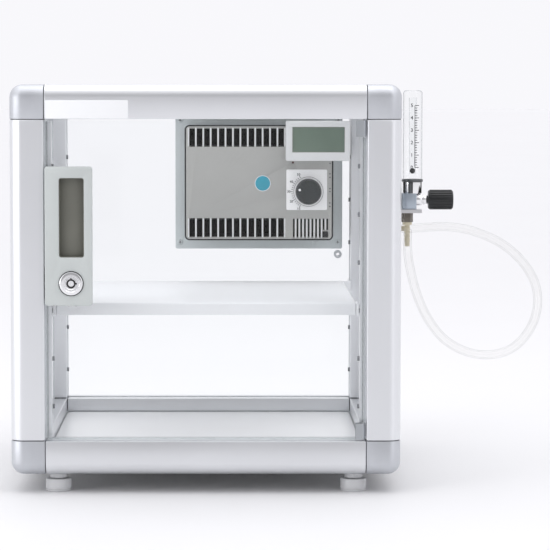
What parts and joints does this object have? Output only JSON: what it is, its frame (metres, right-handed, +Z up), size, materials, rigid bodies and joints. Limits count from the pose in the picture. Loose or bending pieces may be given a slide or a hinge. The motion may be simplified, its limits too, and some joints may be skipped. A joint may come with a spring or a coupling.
{
  "type": "laboratory incubator",
  "caption": "Cube-shaped bench incubator: clear panels in a rounded bar frame, locking door, lift-off shelf, rear heating and cooling unit, and a gas flow meter with a looped hose.",
  "frame": {"origin": "on the bench, under the centre of the cabinet's bar frame", "axes": "+X right seen from the front, the door faces -Y, +Z up"},
  "size_m": [0.5807, 0.4845, 0.44],
  "materials": {
    "bar_alu": "satin anodised extrusion",
    "cast_corner": "satin cast corner, a shade darker than the bars",
    "sink_alu": "bare extruded",
    "block_metal": "satin grey",
    "clear_seal": "translucent soft PVC edge seal",
    "clear_panel": "clear acrylic sheet",
    "clear_tube": "clear moulded acrylic",
    "hose": "clear soft PVC hose",
    "white_sheet": "glossy white powder coat",
    "pale_seal": "pale grey seal",
    "foot_grey": "grey plastic pad on a steel stud",
    "steel": "bright steel",
    "chromed": "polished plating",
    "handle_plastic": "light grey, satin",
    "light_plastic": "light grey, satin",
    "white_plastic": "white",
    "grey_plastic": "grey",
    "dark_plastic": "dark grey",
    "black_plastic": "black",
    "cover_paint": "satin light grey",
    "flange_paint": "satin blue grey",
    "ceramic": "white ceramic faces",
    "board": "green laminate",
    "lcd": "grey green display glass",
    "fitting": "cream nylon"
  },
  "bodies": {
    "cabinet": {"corner_blocks": "cast_corner", "post_front_left": "bar_alu", "post_front_right": "bar_alu", "post_rear_left": "bar_alu", "post_rear_right": "bar_alu", "rail_front_top": "bar_alu", "rail_front_bottom": "bar_alu", "rail_rear_top": "bar_alu", "rail_rear_bottom": "bar_alu", "side_rails_top": "bar_alu", "side_rails_bottom": "bar_alu", "panel_top": "clear_panel", "panel_left": "clear_panel", "panel_right": "clear_panel", "panel_rear": "clear_panel", "floor_panel": "white_sheet", "panel_seals": "pale_seal", "foot_collars": "steel", "hinge_pins": "steel", "strike_plate": "steel", "shelf_standards": "bar_alu", "shelf_pegs": "grey_plastic", "unit_flange": "flange_paint", "unit_inner_cover": "cover_paint", "unit_outer_cover": "cover_paint", "fan_frames": "black_plastic", "cold_sink": "sink_alu", "hot_sink": "sink_alu", "thermoelectric_module": "ceramic", "control_board": "board", "dial_plate": "white_plastic", "power_inlet": "black_plastic", "display_housing": "light_plastic", "display_window": "lcd", "port_grommet": "pale_seal", "flowmeter_bracket": "steel", "flowmeter_body": "chromed", "flow_tube": "clear_tube", "hose_fittings": "fitting", "gas_hose": "hose", "screws": "steel"},
    "door": {"door_panel": "clear_panel", "door_seal": "clear_seal", "door_hinge_blocks": "block_metal", "handle_block": "handle_plastic", "lock_barrel": "chromed"},
    "lock": {"lock_core": "chromed", "lock_cam": "steel"},
    "shelf": {"shelf": "white_sheet", "shelf_hooks": "black_plastic"},
    "dial": {"dial_knob": "dark_plastic"},
    "rocker": {"power_switch": "black_plastic"},
    "inner_fan": {"circulation_fan": "black_plastic"},
    "outer_fan": {"exhaust_fan": "black_plastic"},
    "valve": {"valve_knob": "black_plastic"},
    "float": {"flow_float": "black_plastic"},
    "front_left_foot": {"foot_front_left": "foot_grey"},
    "front_right_foot": {"foot_front_right": "foot_grey"},
    "rear_left_foot": {"foot_rear_left": "foot_grey"},
    "rear_right_foot": {"foot_rear_right": "foot_grey"}
  },
  "joints": [
    {"name": "door_hinge", "type": "hinge", "parent": "cabinet", "child": "door", "pos_m": [0.1678, -0.203, 0.23], "axis": [0, 0, 1], "range_deg": [0, 95]},
    {"name": "lock_turn", "type": "hinge", "parent": "door", "child": "lock", "pos_m": [-0.1435, -0.203, 0.2278], "axis": [0, 1, 0], "range_deg": [0, 90]},
    {"name": "shelf_lift", "type": "slide", "parent": "cabinet", "child": "shelf", "axis": [0, 0, 1], "range_m": [0, 0.015]},
    {"name": "dial_turn", "type": "hinge", "parent": "cabinet", "child": "dial", "pos_m": [0.1203, 0.128, 0.3119], "axis": [0, 1, 0], "range_deg": [-60, 210]},
    {"name": "switch_rock", "type": "hinge", "parent": "cabinet", "child": "rocker", "pos_m": [0.1406, 0.129, 0.26045], "axis": [1, 0, 0], "range_deg": [-7, 7]},
    {"name": "circulation_fan_spin", "type": "hinge", "parent": "cabinet", "child": "inner_fan", "pos_m": [0.0342, 0.14, 0.3209], "axis": [0, 1, 0], "continuous": true},
    {"name": "exhaust_fan_spin", "type": "hinge", "parent": "cabinet", "child": "outer_fan", "pos_m": [0.0342, 0.237, 0.3209], "axis": [0, 1, 0], "continuous": true},
    {"name": "valve_turn", "type": "hinge", "parent": "cabinet", "child": "valve", "pos_m": [0.256, -0.135, 0.3139], "axis": [1, 0, 0], "range_deg": [0, 720]},
    {"name": "float_rise", "type": "slide", "parent": "cabinet", "child": "float", "axis": [0, 0, 1], "range_m": [0, 0.075]},
    {"name": "front_left_foot_screw", "type": "slide", "parent": "cabinet", "child": "front_left_foot", "axis": [0, 0, 1], "range_m": [-0.008, 0]},
    {"name": "front_right_foot_screw", "type": "slide", "parent": "cabinet", "child": "front_right_foot", "axis": [0, 0, 1], "range_m": [-0.008, 0]},
    {"name": "rear_left_foot_screw", "type": "slide", "parent": "cabinet", "child": "rear_left_foot", "axis": [0, 0, 1], "range_m": [-0.008, 0]},
    {"name": "rear_right_foot_screw", "type": "slide", "parent": "cabinet", "child": "rear_right_foot", "axis": [0, 0, 1], "range_m": [-0.008, 0]}
  ]
}
